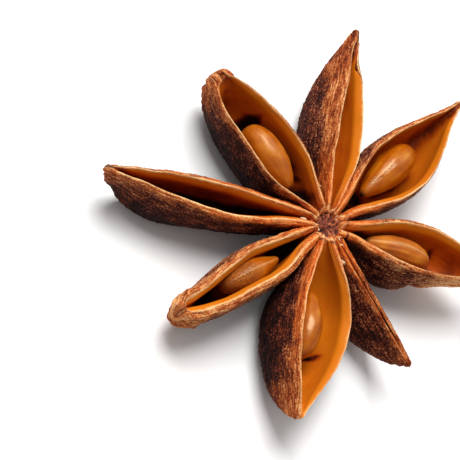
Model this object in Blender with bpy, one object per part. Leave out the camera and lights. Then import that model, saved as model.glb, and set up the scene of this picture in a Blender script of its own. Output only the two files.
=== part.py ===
"""Star anise pod: eight boat-shaped carpels round a short column, five of them with a seed.

Each carpel is a woody shell that has split along its top. It is a row of closed rings carried along a
spine that runs out from the column. The column and the carpels are joined into one solid, because they
grow as one piece, and each seed is a solid of its own. Metres, +Z up, the pod lying on its keels.
"""

from dataclasses import dataclass
from math import tau as FULL_TURN

import bmesh
import bpy
import numpy as np
from mathutils import Matrix, Vector

MM = 0.001

# Driving sizes of the whole pod
HUB_X = 1.233 * MM             # the column stands here, so that the pod's box is centred on the origin
HUB_Y = -0.735 * MM
HUB_HEIGHT = 5.1 * MM          # from the floor to the lips where they meet the column
CARPEL_START = 1.15 * MM       # where the lips begin, round the hub's hollow
CREST_RISE = 0.5 * MM          # how far the lips arch up between the hub and the tip
FLOOR_DIP = 0.07 * MM          # how far the resting keels would pass the floor before they are flattened

# The woody wall
LIP_WIDTH = 0.55 * MM
LIP_CROWN = 0.16 * MM          # height of the rounded top of a lip
KEEL_WALL = 0.8 * MM           # thickness under the hollow
SIDE_WALL_EXTRA = 0.1 * MM     # what the wall gains halfway down
SEAM = 0.07 * MM               # half the gap between closed lips
SHARED_WALL = 0.28 * MM        # what stays between the hollow and the plane shared with a neighbour
PRESS_OVERLAP = 0.12 * MM      # how far neighbours run into each other where they have grown together
PRESS_SOFTNESS = 0.16 * MM
RELEASE_START = 5.5 * MM       # from here outwards the carpels come free of each other
RELEASE_LENGTH = 4.0 * MM
RELEASE = 1.2 * MM
LARGEST_SHARE = 0.7            # of the angle between two neighbours, what the wider one takes at most

KNOB_PLACE = 0.93              # along the carpel, from 0 to 1
KNOB_SPREAD = 0.07

# The column in the middle
COLUMN_RADIUS = 1.45 * MM
COLUMN_TOP = HUB_HEIGHT - 0.75 * MM
COLUMN_FOOT = 0.9 * MM
FOOT_RADIUS = 1.0 * MM
COLUMN_SIDES = 24

# How finely the rings are cut
STATIONS = 19
OUTER_STEPS = (0.0, 0.1, 0.27, 0.46, 0.66, 0.84)
INNER_STEPS = (0.0, 0.25, 0.5, 0.76)
CAP_RINGS = 2
SEED_RINGS = 9
SEED_SIDES = 12


@dataclass(frozen=True)
class Carpel:
    """One carpel. Left and right are as seen from the column, looking out along the carpel."""

    name: str
    azimuth: float                     # degrees from +X, counterclockwise
    length: float                      # from the pod's axis to the tip
    depth: float                       # from the lips to the keel at its deepest
    left: float                        # half of the opening, to the left of the spine
    right: float                       # and to the right
    left_peak: float = 0.45            # where along the carpel each half is widest, from 0 to 1
    right_peak: float = 0.5
    point: float = 1.2                 # above 1 the opening runs out in a beak, below 1 it ends round
    right_point: float = 0.0           # the same for the right half, where it differs
    rise: float = 0.6 * MM             # the tip's height above the hub's lips
    crest: float = CREST_RISE
    roll: float = 0.0                  # degrees that the carpel leans, keel to the left
    belly: float = 0.5 * MM            # how far the sides stand out halfway down
    belly_point: float = 1.3
    keel_peak: float = 0.5
    keel_round: float = 0.9            # below 1 the keel stays deep up to the tip
    hub_depth: float = 0.6             # parts of the full depth
    tip_depth: float = 0.12
    tip_gap: float = 0.0
    lip: float = 1.0                   # width of the lip in parts of LIP_WIDTH
    hollow: float = 1.0                # depth of the hollow in parts of what the wall leaves
    nose: float = 0.35 * MM            # length of the rounded end past the last ring
    keel_swing: float = 0.0            # how far the keel swings to the left at the tip
    knob: float = 0.0                  # how far a knob stands out all round just before the tip


@dataclass(frozen=True)
class Seed:
    """One seed, an egg-shaped bean lying along its carpel."""

    carpel: str
    along: float                       # place of its middle along the carpel, from 0 to 1
    across: float                      # to the left of the spine
    below: float                       # below the lips
    length: float
    width: float
    height: float
    turn: float = 0.0                  # degrees, its nose to the left
    lean: float = 0.0                  # degrees, its top to the right


CARPELS = (
    Carpel("slim", 131.5, 18.4 * MM, 5.6 * MM, 0.75 * MM, 1.45 * MM, right_peak=0.42, right_point=2.8,
           rise=0.8 * MM, roll=20, belly=0.65 * MM, belly_point=2.2, keel_peak=0.52),
    Carpel("beaked", 96, 18.7 * MM, 5.8 * MM, 1.85 * MM, 2.6 * MM, right_peak=0.48, point=1.9,
           belly_point=2.2),
    Carpel("wide", 41, 16.5 * MM, 5.0 * MM, 2.3 * MM, 1.7 * MM, left_peak=0.5, point=1.4,
           rise=0.8 * MM, roll=-8),
    Carpel("shut", -9.2, 13.8 * MM, 5.85 * MM, 0.1 * MM, 0.1 * MM, rise=1.1 * MM, crest=0.1 * MM,
           belly=1.3 * MM, lip=0.6, hollow=0.09, keel_round=0.75),
    Carpel("broad", -49.8, 18.1 * MM, 6.0 * MM, 3.35 * MM, 1.55 * MM, left_peak=0.44, point=1.35, roll=-20,
           belly=0.7 * MM, keel_round=0.66, tip_depth=0.17),
    Carpel("blunt", -97, 17.2 * MM, 5.9 * MM, 1.9 * MM, 0.85 * MM, point=0.8, belly=0.5 * MM,
           keel_round=0.5, tip_depth=0.45, tip_gap=0.12, keel_swing=1.1 * MM, knob=0.35 * MM),
    Carpel("long", -133.7, 21.2 * MM, 5.4 * MM, 1.5 * MM, 0.65 * MM, point=1.4, rise=0.4 * MM,
           belly=0.5 * MM, keel_peak=0.76, keel_round=0.75, hub_depth=0.52, tip_depth=0.12),
    Carpel("round", 182.5, 16.1 * MM, 6.1 * MM, 2.2 * MM, 1.8 * MM, left_peak=0.42, right_peak=0.42,
           point=0.8, rise=0.9 * MM, keel_peak=0.6, keel_round=0.5, tip_depth=0.45, tip_gap=0.1),
)

RESTING = ("beaked", "shut", "blunt", "round")    # the four whose keels touch the floor

SEEDS = (
    Seed("beaked", 0.45, -0.15 * MM, 1.9 * MM, 6.9 * MM, 2.9 * MM, 3.4 * MM),
    Seed("wide", 0.4, 0.35 * MM, 1.95 * MM, 6.4 * MM, 2.6 * MM, 3.5 * MM),
    Seed("broad", 0.48, 0.4 * MM, 2.1 * MM, 6.4 * MM, 2.8 * MM, 3.8 * MM),
    Seed("blunt", 0.48, 0.45 * MM, 2.05 * MM, 6.2 * MM, 2.25 * MM, 3.5 * MM),
    Seed("round", 0.45, 0.1 * MM, 2.2 * MM, 6.4 * MM, 2.9 * MM, 4.0 * MM),
)


def swell(s, peak, start, end, start_power, end_power):
    """Climb from start to 1 at the peak and fall to end, each side as (1 - x squared) to a power."""
    before = np.clip((peak - s) / peak, 0, 1)
    after = np.clip((s - peak) / (1 - peak), 0, 1)
    climb = start + (1 - start) * (1 - before ** 2) ** start_power
    fall = end + (1 - end) * (1 - after ** 2) ** end_power
    return np.where(s < peak, climb, fall)


def ease(x):
    """Go smoothly from 0 to 1."""
    x = np.clip(x, 0, 1)
    return x * x * (3 - 2 * x)


def soft_least(a, b, softness):
    """The smaller of two values, with the corner between them rounded off."""
    return (a + b - np.sqrt((a - b) ** 2 + softness ** 2)) / 2


def side_width(carpel, side):
    """Roughly how far a carpel reaches to one side."""
    return (carpel.left if side > 0 else carpel.right) + LIP_WIDTH + carpel.belly


def wedge(carpel, side):
    """The angle that a carpel has to itself on one side: its share of the way to the next carpel."""
    def turn_to(other):
        return (side * (other.azimuth - carpel.azimuth)) % 360

    neighbour = min((other for other in CARPELS if other is not carpel), key=turn_to)
    own, theirs = side_width(carpel, side), side_width(neighbour, -side)
    share = np.clip(own / (own + theirs), 1 - LARGEST_SHARE, LARGEST_SHARE)
    return np.radians(turn_to(neighbour) * share)


class Shell:
    """The surfaces of one carpel, worked out at any place along it."""

    def __init__(self, carpel):
        self.carpel = carpel
        turn = np.radians(carpel.azimuth)
        self.out = np.array([np.cos(turn), np.sin(turn), 0.0])
        self.left = np.array([-np.sin(turn), np.cos(turn), 0.0])
        self.up = np.array([0.0, 0.0, 1.0])
        self.hub = np.array([HUB_X, HUB_Y, 0.0])

    def reach(self, s):
        """Distance from the pod's axis."""
        return CARPEL_START + (self.carpel.length - CARPEL_START) * s

    def crest_height(self, s):
        """Height of the lips above the floor."""
        return HUB_HEIGHT + self.carpel.rise * s + self.carpel.crest * 4 * s * (1 - s)

    def lean(self, s):
        """The angle that the section has rolled, which grows from nothing at the column."""
        return np.radians(self.carpel.roll) * ease(s / 0.45)

    def opening(self, s, side):
        """Half of the gap between the lips."""
        c = self.carpel
        widest, peak = (c.left, c.left_peak) if side > 0 else (c.right, c.right_peak)
        point = c.right_point if side < 0 and c.right_point else c.point
        return SEAM + (widest - SEAM) * swell(s, peak, 0.0, c.tip_gap, 1.7, point)

    def keel_depth(self, s):
        c = self.carpel
        full = c.depth
        if c.name in RESTING:
            full = self.crest_height(c.keel_peak) + FLOOR_DIP
        return full * swell(s, c.keel_peak, c.hub_depth, c.tip_depth, 0.9, c.keel_round)

    def belly(self, s):
        return self.carpel.belly * swell(s, 0.45, 0.1, 0.12, 1.0, self.carpel.belly_point)

    def lip_width(self, s):
        return LIP_WIDTH * self.carpel.lip * swell(s, 0.35, 1.5, 0.45, 0.8, 1.0)

    def swing(self, s, fall):
        """How far a point swings to the left towards the tip, by its part of the keel's depth."""
        return self.carpel.keel_swing * ease((s - 0.45) / 0.5) * fall ** 2

    def outer(self, s, side, t):
        """Across and up offsets of the outer side, from the lip's edge (t 0) to the keel (t 1)."""
        knob = self.carpel.knob * np.exp(-((s - KNOB_PLACE) / KNOB_SPREAD) ** 2)
        across = (self.opening(s, side) + self.lip_width(s) + knob) * np.cos(np.pi * t / 2)
        across = across + self.belly(s) * np.sin(np.pi * t)
        fall = np.sin(np.pi * t / 2)
        return side * across + self.swing(s, fall), -(self.keel_depth(s) + knob) * fall

    def inner(self, s, side, t):
        """The same for the hollow, which grows shallow towards the column and the tip."""
        spread = np.maximum(self.belly(s) - SIDE_WALL_EXTRA, 0.0) * self.carpel.hollow
        across = self.opening(s, side) * np.cos(np.pi * t / 2) + spread * np.sin(np.pi * t)
        fade = np.sin(np.clip(s / 0.3, 0, 1) * np.pi / 2) * ease((1.03 - s) / 0.22)
        deep = (self.keel_depth(s) - KEEL_WALL) * self.carpel.hollow * fade * np.sin(np.pi * t / 2)
        return side * across + self.swing(s, deep / self.keel_depth(s)), -deep

    def crown(self, s, side):
        """The top of the rounded lip, halfway across it."""
        width = self.lip_width(s)
        return side * (self.opening(s, side) + width / 2), LIP_CROWN * width / LIP_WIDTH

    def place(self, s, across, up, inside=False):
        """Points in space. Near the column the sides are pressed flat against their neighbours."""
        roll = self.lean(s)
        sideways = across * np.cos(roll) - up * np.sin(roll)
        height = self.crest_height(s) + across * np.sin(roll) + up * np.cos(roll)
        reach = self.reach(s)
        keep, softness = (-SHARED_WALL, SEAM / 2) if inside else (PRESS_OVERLAP, PRESS_SOFTNESS)
        keep = keep + RELEASE * ease((reach - RELEASE_START) / RELEASE_LENGTH)
        for side in (1, -1):
            limit = np.maximum(reach * np.tan(wedge(self.carpel, side)) + keep, SEAM)
            sideways = side * soft_least(side * sideways, limit, softness)
        height = np.maximum(height, 0.0)
        return self.hub + reach * self.out + sideways * self.left + height * self.up

    def ring(self, s):
        """One closed ring: down the left side, up the right side, and back through the hollow."""
        points = [self.place(s, *self.crown(s, 1))]
        points += [self.place(s, *self.outer(s, 1, t)) for t in OUTER_STEPS]
        points += [self.place(s, *self.outer(s, 1, 1.0))]
        points += [self.place(s, *self.outer(s, -1, t)) for t in reversed(OUTER_STEPS)]
        points += [self.place(s, *self.crown(s, -1))]
        points += [self.place(s, *self.inner(s, -1, t), inside=True) for t in INNER_STEPS]
        points += [self.place(s, *self.inner(s, 1, 1.0), inside=True)]
        points += [self.place(s, *self.inner(s, 1, t), inside=True) for t in reversed(INNER_STEPS)]
        return np.array(points)

    def rings(self):
        """All rings from the column to the tip, closer together at both ends, and the rounded end."""
        stations = (1 - np.cos(np.pi * np.linspace(0, 1, STATIONS))) / 2
        rings = [self.ring(s) for s in stations]
        last = rings[-1]
        middle = last[:2 * len(OUTER_STEPS) + 3].mean(axis=0)
        for step in range(1, CAP_RINGS + 1):
            angle = step / (CAP_RINGS + 1) * np.pi / 2
            shrunk = middle + (last - middle) * np.cos(angle)
            rings.append(shrunk + self.out * self.carpel.nose * np.sin(angle))
        return rings, middle + self.out * self.carpel.nose


def new_object(name, mesh_data, material):
    """Put a bmesh into the scene as one named object."""
    mesh = bpy.data.meshes.new(name)
    bmesh.ops.recalc_face_normals(mesh_data, faces=mesh_data.faces)
    mesh_data.to_mesh(mesh)
    mesh_data.free()
    mesh.shade_smooth()
    mesh.materials.append(material)
    obj = bpy.data.objects.new(name, mesh)
    bpy.context.scene.collection.objects.link(obj)
    return obj


def add_loop(mesh_data, points):
    """A closed loop of edges through the points."""
    verts = [mesh_data.verts.new(point) for point in points]
    return [mesh_data.edges.new((verts[i - 1], verts[i])) for i in range(len(verts))]


def close_loop(mesh_data, loop, point):
    """A fan of triangles from the loop to one point."""
    hub = mesh_data.verts.new(point)
    for edge in loop:
        mesh_data.faces.new((*edge.verts, hub))


def make_carpel(carpel, material):
    """The rings bridged one to the next, and a fan of faces over each end."""
    rings, tip = Shell(carpel).rings()
    mesh_data = bmesh.new()
    loops = [add_loop(mesh_data, ring) for ring in rings]
    for first, second in zip(loops, loops[1:]):
        bmesh.ops.bridge_loops(mesh_data, edges=first + second)
    close_loop(mesh_data, loops[0], rings[0][:2 * len(OUTER_STEPS) + 3].mean(axis=0))
    close_loop(mesh_data, loops[-1], tip)
    return new_object("carpel_" + carpel.name, mesh_data, material)


def make_column(material):
    """The short column: a turned profile with a dished top and a small scar underneath."""
    profile = (
        (0.0, COLUMN_TOP - 0.15 * MM),
        (COLUMN_RADIUS * 0.6, COLUMN_TOP - 0.05 * MM),
        (COLUMN_RADIUS, COLUMN_TOP),
        (COLUMN_RADIUS, COLUMN_FOOT + 0.5 * MM),
        (FOOT_RADIUS, COLUMN_FOOT),
        (FOOT_RADIUS * 0.7, COLUMN_FOOT),
        (0.0, COLUMN_FOOT + 0.25 * MM),
    )
    mesh_data = bmesh.new()
    verts = [mesh_data.verts.new((HUB_X + radius, HUB_Y, height)) for radius, height in profile]
    edges = [mesh_data.edges.new(pair) for pair in zip(verts, verts[1:])]
    bmesh.ops.spin(mesh_data, geom=verts + edges, cent=(HUB_X, HUB_Y, 0), axis=(0, 0, 1), angle=FULL_TURN,
                   steps=COLUMN_SIDES, use_merge=True)
    bmesh.ops.remove_doubles(mesh_data, verts=mesh_data.verts, dist=0.001 * MM)
    return new_object("pod", mesh_data, material)


def grow_together(column, carpels):
    """Join the carpels to the column as one solid, and hide the carpels' own objects."""
    group = bpy.data.collections.new("carpels")
    bpy.context.scene.collection.children.link(group)
    for carpel_object in carpels:
        bpy.context.scene.collection.objects.unlink(carpel_object)
        group.objects.link(carpel_object)
        carpel_object.hide_render = True
        carpel_object.display_type = "WIRE"
    union = column.modifiers.new("grown_together", "BOOLEAN")
    union.operation = "UNION"
    union.solver = "EXACT"
    union.operand_type = "COLLECTION"
    union.collection = group


def make_seed(seed, material):
    """An egg-shaped bean: rings along its length, blunter at the end away from the column."""
    shell = Shell(next(carpel for carpel in CARPELS if carpel.name == seed.carpel))
    middle = Vector(shell.place(seed.along, seed.across, -seed.below))
    roll = shell.lean(seed.along)
    side = Vector(shell.left * np.cos(roll) + shell.up * np.sin(roll))
    up = Vector(shell.up * np.cos(roll) - shell.left * np.sin(roll))
    frame = Matrix((shell.out, side, up)).transposed()
    turn = Matrix.Rotation(np.radians(seed.turn), 3, "Z") @ Matrix.Rotation(np.radians(seed.lean), 3, "X")
    mesh_data = bmesh.new()
    around = np.linspace(0, FULL_TURN, SEED_SIDES, endpoint=False)
    loops = []
    for step in range(1, SEED_RINGS):
        angle = np.pi * step / SEED_RINGS
        girth = np.sin(angle) * (1 - 0.08 * np.cos(angle))
        ring = [Vector((-np.cos(angle) * seed.length / 2, girth * np.cos(a) * seed.width / 2,
                        girth * np.sin(a) * seed.height / 2)) for a in around]
        loops.append(add_loop(mesh_data, [middle + frame @ turn @ point for point in ring]))
    for first, second in zip(loops, loops[1:]):
        bmesh.ops.bridge_loops(mesh_data, edges=first + second)
    for loop, end in ((loops[0], -1), (loops[-1], 1)):
        close_loop(mesh_data, loop, middle + frame @ turn @ Vector((end * seed.length / 2, 0, 0)))
    return new_object("seed_" + seed.carpel, mesh_data, material)


def make_material(name, colour, roughness):
    """A plain Principled material."""
    material = bpy.data.materials.new(name)
    material.use_nodes = True
    shader = material.node_tree.nodes["Principled BSDF"]
    shader.inputs["Base Color"].default_value = (*colour, 1.0)
    shader.inputs["Roughness"].default_value = roughness
    return material


def main():
    for obj in list(bpy.data.objects):
        bpy.data.objects.remove(obj)
    husk = make_material("husk", (0.16, 0.055, 0.022), 0.8)
    seed_coat = make_material("seed_coat", (0.42, 0.14, 0.02), 0.25)
    column = make_column(husk)
    carpels = [make_carpel(carpel, husk) for carpel in CARPELS]
    grow_together(column, carpels)
    for seed in SEEDS:
        make_seed(seed, seed_coat)


main()
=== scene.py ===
"""Star anise pod: eight boat-shaped woody carpels round a short column, five of them with a glossy seed.

Each carpel is worked out on a fine grid from the same named sizes as its solid, then wrinkled and grained.
The frame is in metres, +Z up, with the pod lying on its keels and the floor at zero.
"""

import logging
import math
from dataclasses import dataclass
from enum import Enum

import bpy
import numpy as np
from mathutils import Matrix, Vector


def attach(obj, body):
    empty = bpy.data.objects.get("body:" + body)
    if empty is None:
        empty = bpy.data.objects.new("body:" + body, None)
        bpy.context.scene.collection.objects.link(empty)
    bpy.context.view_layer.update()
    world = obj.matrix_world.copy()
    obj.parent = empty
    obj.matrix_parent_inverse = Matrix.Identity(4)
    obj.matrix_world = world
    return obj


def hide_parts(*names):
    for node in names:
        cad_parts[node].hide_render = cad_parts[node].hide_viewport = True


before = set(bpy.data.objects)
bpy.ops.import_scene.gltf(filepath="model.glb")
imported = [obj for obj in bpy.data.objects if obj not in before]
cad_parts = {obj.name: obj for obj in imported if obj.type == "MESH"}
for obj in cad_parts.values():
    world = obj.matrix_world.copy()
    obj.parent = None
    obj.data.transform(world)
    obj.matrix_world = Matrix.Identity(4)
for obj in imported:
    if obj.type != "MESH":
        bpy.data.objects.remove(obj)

LOG = logging.getLogger("star_anise")
Array = np.ndarray
MM = 0.001
BODY = "root"
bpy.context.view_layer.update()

# Driving sizes of the whole pod, the same as the solids'
HUB_X = 1.233 * MM
HUB_Y = -0.735 * MM
HUB_HEIGHT = 5.1 * MM          # from the floor to the lips where they meet the column
CARPEL_START = 1.15 * MM       # where the lips begin, round the hub's hollow
CREST_RISE = 0.5 * MM
FLOOR_DIP = 0.07 * MM
LIP_WIDTH = 0.55 * MM
LIP_CROWN = 0.2 * MM
LIP_BEVEL = 0.55 * MM          # how far a lip's inner edge lies below its crest
KEEL_WALL = 0.8 * MM
SIDE_WALL_EXTRA = 0.1 * MM
SEAM = 0.07 * MM               # half the gap between closed lips
SHARED_WALL = 0.28 * MM
PRESS_OVERLAP = 0.04 * MM      # less than the solids' own, so that a furrow shows between pressed ribs
PRESS_SOFTNESS = 0.16 * MM
RELEASE_START = 5.5 * MM
RELEASE_LENGTH = 4.0 * MM
RELEASE = 1.2 * MM
LARGEST_SHARE = 0.7
KNOB_PLACE = 0.93
KNOB_SPREAD = 0.07
COLUMN_RADIUS = 1.45 * MM
COLUMN_TOP = HUB_HEIGHT - 0.75 * MM
COLUMN_FOOT = 0.9 * MM
RIB_END = 0.3 * MM             # how far a rib's end rounds down into the hub
RIB_CREST = 0.5

# What the finish reads: depth and tone carry painted shade, tone painted highlight too, and the pale edge a painted
# highlight along the lips.
ATTRIBUTES = ("lining", "depth", "edge", "plum", "rib", "tone", "grain")

# How finely the surfaces are cut
STATIONS = 260
SKIN_STEPS = 70
CROWN_STEPS = 13
LINING_STEPS = 20
CAP_RINGS = 12
SEED_RINGS = 80
SEED_SIDES = 88


class Relief(Enum):
    """What the outer skin of a carpel looks like."""

    GRANULAR = "granular"
    STREAKED = "streaked"
    KNOBBLY = "knobbly"


def linear(code: str) -> tuple[float, float, float, float]:
    """Turn an sRGB hex code into linear colour with alpha 1."""
    values = (int(code[i:i + 2], 16) / 255 for i in (1, 3, 5))
    return (*(v / 12.92 if v <= 0.04045 else ((v + 0.055) / 1.055) ** 2.4 for v in values), 1.0)


def per_size(size: float) -> float:
    """The scale of a procedural texture whose features are this many metres apart."""
    return 1.0 / size


def ease(x: Array) -> Array:
    """Go smoothly from 0 to 1: three x squared less two x cubed."""
    x = np.clip(x, 0, 1)
    return x * x * (3 - 2 * x)


def swell(s: Array, peak: float, start: float, end: float, start_power: float, end_power: float) -> Array:
    """Climb from start to 1 at the peak and fall to end, each side as (1 - x squared) to a power.

    Args:
        s: Places along the carpel, from 0 to 1.
        peak: Where the value is 1.
        start: The value at 0.
        end: The value at 1.
        start_power: Above 1 the climb starts slowly, below 1 steeply.
        end_power: The same for the fall.

    Returns:
        The value at each place.
    """
    before = np.clip((peak - s) / peak, 0, 1)
    after = np.clip((s - peak) / (1 - peak), 0, 1)
    climb = start + (1 - start) * (1 - before ** 2) ** start_power
    fall = end + (1 - end) * (1 - after ** 2) ** end_power
    return np.where(s < peak, climb, fall)


def soft_least(a: Array, b: Array, softness: Array) -> Array:
    """The smaller of two values, with the corner between them rounded off."""
    return (a + b - np.sqrt((a - b) ** 2 + softness ** 2)) / 2


class Grain:
    """Seeded gradient noise, worked out for whole arrays at once."""

    def __init__(self, seed: int) -> None:
        """Shuffle the table of slopes."""
        rng = np.random.default_rng(seed)
        self.order = np.tile(rng.permutation(256), 3)
        slopes = rng.normal(size=(256, 3))
        self.slopes = slopes / np.linalg.norm(slopes, axis=1, keepdims=True)

    def at(self, x: Array, y: Array, z: Array | float = 0.0) -> Array:
        """Gradient noise: each lattice corner's slope times the offset from it, blended by a quintic.

        Args:
            x: First coordinate, in features.
            y: Second coordinate.
            z: Third coordinate.

        Returns:
            Values of about -1 to 1.
        """
        place = np.stack(np.broadcast_arrays(x, y, z), axis=-1)
        corner = np.floor(place).astype(int)
        offset = place - corner
        blend = offset ** 3 * (offset * (offset * 6 - 15) + 10)
        total = np.zeros(place.shape[:-1])
        for step in np.ndindex(2, 2, 2):
            cell = (corner + step) % 256
            index = self.order[self.order[self.order[cell[..., 0]] + cell[..., 1]] + cell[..., 2]]
            weight = np.prod(np.where(np.array(step) == 1, blend, 1 - blend), axis=-1)
            total += weight * np.sum(self.slopes[index] * (offset - step), axis=-1)
        return total * 1.8

    def layers(self, x: Array, y: Array, z: Array | float = 0.0, count: int = 3) -> Array:
        """Several layers of noise, each half as large and half as strong as the one before."""
        return sum(self.at(x * 2 ** n, y * 2 ** n, z + 7.3 * n) / 2 ** n for n in range(count))


@dataclass(frozen=True)
class Dent:
    """A place where one side of a carpel has sunk in, or bulges out where its depth is below 0."""

    along: float                   # from 0 to 1
    down: float                    # its middle, below the lip's crest
    side: int                      # 1 left, -1 right, 0 both
    half_length: float             # as a part of the carpel's length
    half_width: float
    depth: float


@dataclass(frozen=True)
class PaintedShadow:
    """A painted shadow: a place deep in a hollow that little light reaches, darkened in the lining's colour."""

    along: float                   # from 0 to 1
    up: float                      # from the hollow's bottom line, above 0 up the left wall
    half_length: float             # as a part of the carpel's length
    half_width: float
    level: float


@dataclass(frozen=True)
class Sizes:
    """Sizes of one carpel, as for its solid. Left and right are as seen from the column, looking out."""

    name: str
    azimuth: float
    length: float
    depth: float
    left: float
    right: float
    left_peak: float = 0.45
    right_peak: float = 0.5
    point: float = 1.2
    right_point: float = 0.0
    rise: float = 0.6 * MM
    crest: float = CREST_RISE
    roll: float = 0.0
    belly: float = 0.5 * MM
    belly_point: float = 1.3
    keel_peak: float = 0.5
    keel_round: float = 0.9
    hub_depth: float = 0.6
    tip_depth: float = 0.12
    tip_gap: float = 0.0
    lip: float = 1.0
    hollow: float = 1.0
    nose: float = 0.35 * MM
    keel_swing: float = 0.0
    knob: float = 0.0
    left_crest: float = 0.6            # where each lip's crest is, from its inner edge to its outer
    right_crest: float = 0.6
    bevel: float = 1.0
    closing: float = 1.0               # where along the carpel the hollow closes, its tip being solid from there
    closing_point: float = 0.6         # how the hollow narrows to there: above 1 pointed, below 1 round
    closing_over: float = 0.03         # over what part of the carpel its lips draw together there
    tip_lift: float = 1.0              # how far its solid tip rises
    late: float = 2.2                  # above 1.7 the hollow opens later than the solid's, and lips are thicker
    thick: float = 0.0                 # how much thicker than the solid's the lips are halfway along
    mouth_swing: float = 0.0           # how far the left lip swings to the left towards the tip
    right_swing: float = 1.0           # what part of that the right lip swings
    mouth_drop: float = 0.0            # and how far they drop
    mouth_from: float = 0.45           # from where along the carpel


SLIM = Sizes("slim", 131.5, 18.4 * MM, 5.6 * MM, 0.75 * MM, 1.45 * MM, right_peak=0.42, right_point=2.8,
             rise=0.8 * MM, roll=20, belly=0.65 * MM, belly_point=2.2, keel_peak=0.52, left_crest=0.6,
             right_crest=0.75, closing=0.93, closing_point=2.0, closing_over=0.06, tip_lift=0.25, late=2.2,
             mouth_swing=0.25 * MM, mouth_from=0.7)
BEAKED = Sizes("beaked", 96, 18.7 * MM, 5.8 * MM, 1.85 * MM, 2.6 * MM, right_peak=0.48, point=1.9,
               belly_point=2.2, left_crest=0.3, right_crest=0.75, late=2.4)
WIDE = Sizes("wide", 41, 16.5 * MM, 5.0 * MM, 2.3 * MM, 1.7 * MM, left_peak=0.5, point=1.4,
             rise=0.8 * MM, roll=-8, left_crest=0.45, right_crest=0.5, late=2.4,
             thick=0.15 * MM)
SHUT = Sizes("shut", -9.2, 13.8 * MM, 5.85 * MM, 0.04 * MM, 0.04 * MM, rise=1.1 * MM, crest=0.1 * MM,
             belly=1.3 * MM, lip=0.6, hollow=0.09, keel_round=0.75, bevel=0.2)
BROAD = Sizes("broad", -49.8, 18.1 * MM, 6.0 * MM, 3.35 * MM, 1.55 * MM, left_peak=0.44, point=1.35,
              roll=-20, belly=0.7 * MM, keel_round=0.66, tip_depth=0.17, left_crest=0.8,
              right_crest=0.6, late=1.9)
BLUNT = Sizes("blunt", -97, 17.2 * MM, 5.9 * MM, 1.9 * MM, 0.85 * MM, point=0.8, belly=0.5 * MM,
              keel_round=0.5, tip_depth=0.45, tip_gap=0.12, keel_swing=1.1 * MM, knob=0.35 * MM, left_crest=0.45,
              right_crest=0.45, closing=0.985, closing_point=1.25, late=2.8, thick=0.4 * MM,
              mouth_swing=0.75 * MM, mouth_drop=0.5 * MM)
LONG = Sizes("long", -133.7, 21.2 * MM, 5.4 * MM, 1.5 * MM, 0.65 * MM, point=1.4, rise=0.4 * MM,
             belly=0.5 * MM, keel_peak=0.76, keel_round=0.75, hub_depth=0.52, tip_depth=0.12, left_crest=0.45,
             right_crest=0.45, closing=0.975, closing_point=1.3, tip_lift=0.3, late=3.2, thick=0.2 * MM)
ROUND = Sizes("round", 182.5, 16.1 * MM, 6.1 * MM, 2.2 * MM, 1.8 * MM, left_peak=0.42, right_peak=0.42,
              point=0.8, rise=0.9 * MM, keel_peak=0.6, keel_round=0.5, tip_depth=0.45, tip_gap=0.1, left_crest=0.6,
              right_crest=0.45, closing=0.95, late=1.6, mouth_swing=0.65 * MM, right_swing=0.2, mouth_from=0.5)
ALL_SIZES = (SLIM, BEAKED, WIDE, SHUT, BROAD, BLUNT, LONG, ROUND)
RESTING = (BEAKED, SHUT, BLUNT, ROUND)    # the four whose keels touch the floor


def wedge(sizes: Sizes, side: int) -> float:
    """The angle that a carpel has to itself on one side: its share of the way to the next carpel.

    Args:
        sizes: The carpel.
        side: 1 for its left, -1 for its right.

    Returns:
        The angle in radians.
    """
    def turn_to(other: Sizes) -> float:
        """Degrees from this carpel to another, going to the given side."""
        return (side * (other.azimuth - sizes.azimuth)) % 360

    def reach_of(which: Sizes, which_side: int) -> float:
        """Roughly how far a carpel reaches to one side."""
        return (which.left if which_side > 0 else which.right) + LIP_WIDTH + which.belly

    neighbour = min((other for other in ALL_SIZES if other is not sizes), key=turn_to)
    own, theirs = reach_of(sizes, side), reach_of(neighbour, -side)
    share = float(np.clip(own / (own + theirs), 1 - LARGEST_SHARE, LARGEST_SHARE))
    return math.radians(turn_to(neighbour) * share)


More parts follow.
